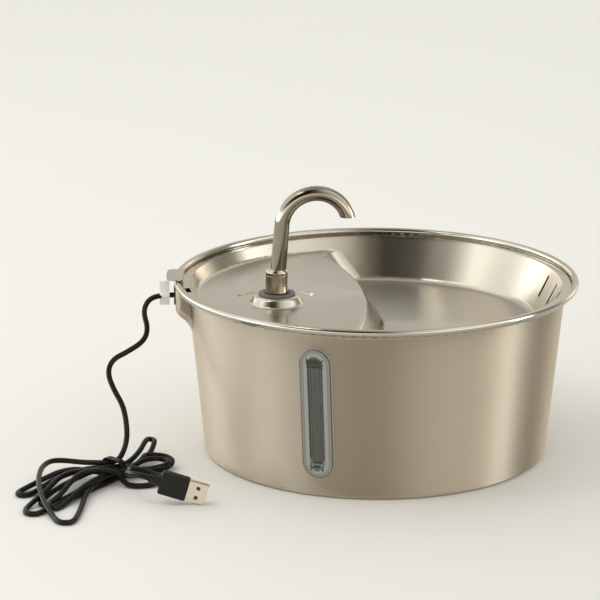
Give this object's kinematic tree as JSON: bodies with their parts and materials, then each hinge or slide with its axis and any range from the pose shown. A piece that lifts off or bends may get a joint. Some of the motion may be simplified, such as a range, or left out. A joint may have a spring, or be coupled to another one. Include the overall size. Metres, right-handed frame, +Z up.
{
  "type": "pet water fountain",
  "caption": "Round steel drinking bowl for pets with a lift-out tray, a gooseneck spout, a water level window and a USB pump inside a filter box.",
  "frame": {"origin": "centre of the bowl's base, on the surface it stands on", "axes": "+Z up; +X towards the drinking basin and its overflow slots, away from the cable outlet and the lift tab; the water level window faces -Y"},
  "size_m": [0.346, 0.2662, 0.1711],
  "materials": {
    "bowl_steel": "brushed round the bowl",
    "tray_steel": "satin",
    "spout_steel": "polished satin",
    "collar_steel": "satin",
    "screw_steel": "bright",
    "shaft_steel": "ground",
    "shell_steel": "nickel plated",
    "grey_silicone": "matte",
    "clear_silicone": "translucent",
    "black_rubber": "matte",
    "window_plastic": "translucent grey-blue",
    "white_plastic": "matte",
    "pump_plastic": "matte",
    "magnet": "sintered",
    "foam": "open foam",
    "carbon_felt": "felt over carbon grains",
    "cord_jacket": "satin",
    "tie_plastic": "matte",
    "tag_paper": "plain film",
    "plug_plastic": "satin",
    "tongue_plastic": "moulded"
  },
  "bodies": {
    "bowl": {"bowl": "bowl_steel", "window_lens": "window_plastic", "window_gasket": "clear_silicone", "window_clamp": "white_plastic", "window_screws": "screw_steel", "cable_grommet": "black_rubber", "pump_lead": "cord_jacket", "pump_body": "pump_plastic", "pump_intake_cover": "pump_plastic", "impeller_shaft": "shaft_steel", "shaft_bushes": "black_rubber", "suction_cups": "clear_silicone", "outlet_sleeve": "clear_silicone", "filter_box": "white_plastic", "foam_filter": "foam", "cord": "cord_jacket", "cord_hank": "cord_jacket", "cord_tie": "tie_plastic", "cord_tag": "tag_paper", "cord_plug_end": "cord_jacket", "usb_plug": "plug_plastic", "usb_shell": "shell_steel", "usb_tongue": "tongue_plastic"},
    "tray": {"tray": "tray_steel"},
    "spout_plug": {"spout_grommet": "grey_silicone"},
    "spout": {"spout_neck": "spout_steel", "spout_collar": "collar_steel", "spout_washer": "black_rubber"},
    "impeller": {"impeller": "white_plastic", "rotor_magnet": "magnet"},
    "filter_lid": {"filter_box_lid": "white_plastic", "cartridge_frame": "white_plastic", "carbon_pad": "carbon_felt"}
  },
  "joints": [
    {"name": "tray_lift", "type": "slide", "parent": "bowl", "child": "tray", "axis": [0, 0, 1], "range_m": [0, 0.08]},
    {"name": "spout_pull", "type": "slide", "parent": "tray", "child": "spout_plug", "axis": [0, 0, 1], "range_m": [0, 0.03]},
    {"name": "spout_swivel", "type": "hinge", "parent": "spout_plug", "child": "spout", "pos_m": [-0.062, -0.0168, 0.1], "axis": [0, 0, 1], "continuous": true},
    {"name": "impeller_spin", "type": "hinge", "parent": "bowl", "child": "impeller", "pos_m": [-0.062, -0.0168, 0.021], "axis": [1, 0, 0], "continuous": true},
    {"name": "filter_lid_lift", "type": "slide", "parent": "bowl", "child": "filter_lid", "axis": [0, 0, 1], "range_m": [0, 0.015]}
  ]
}
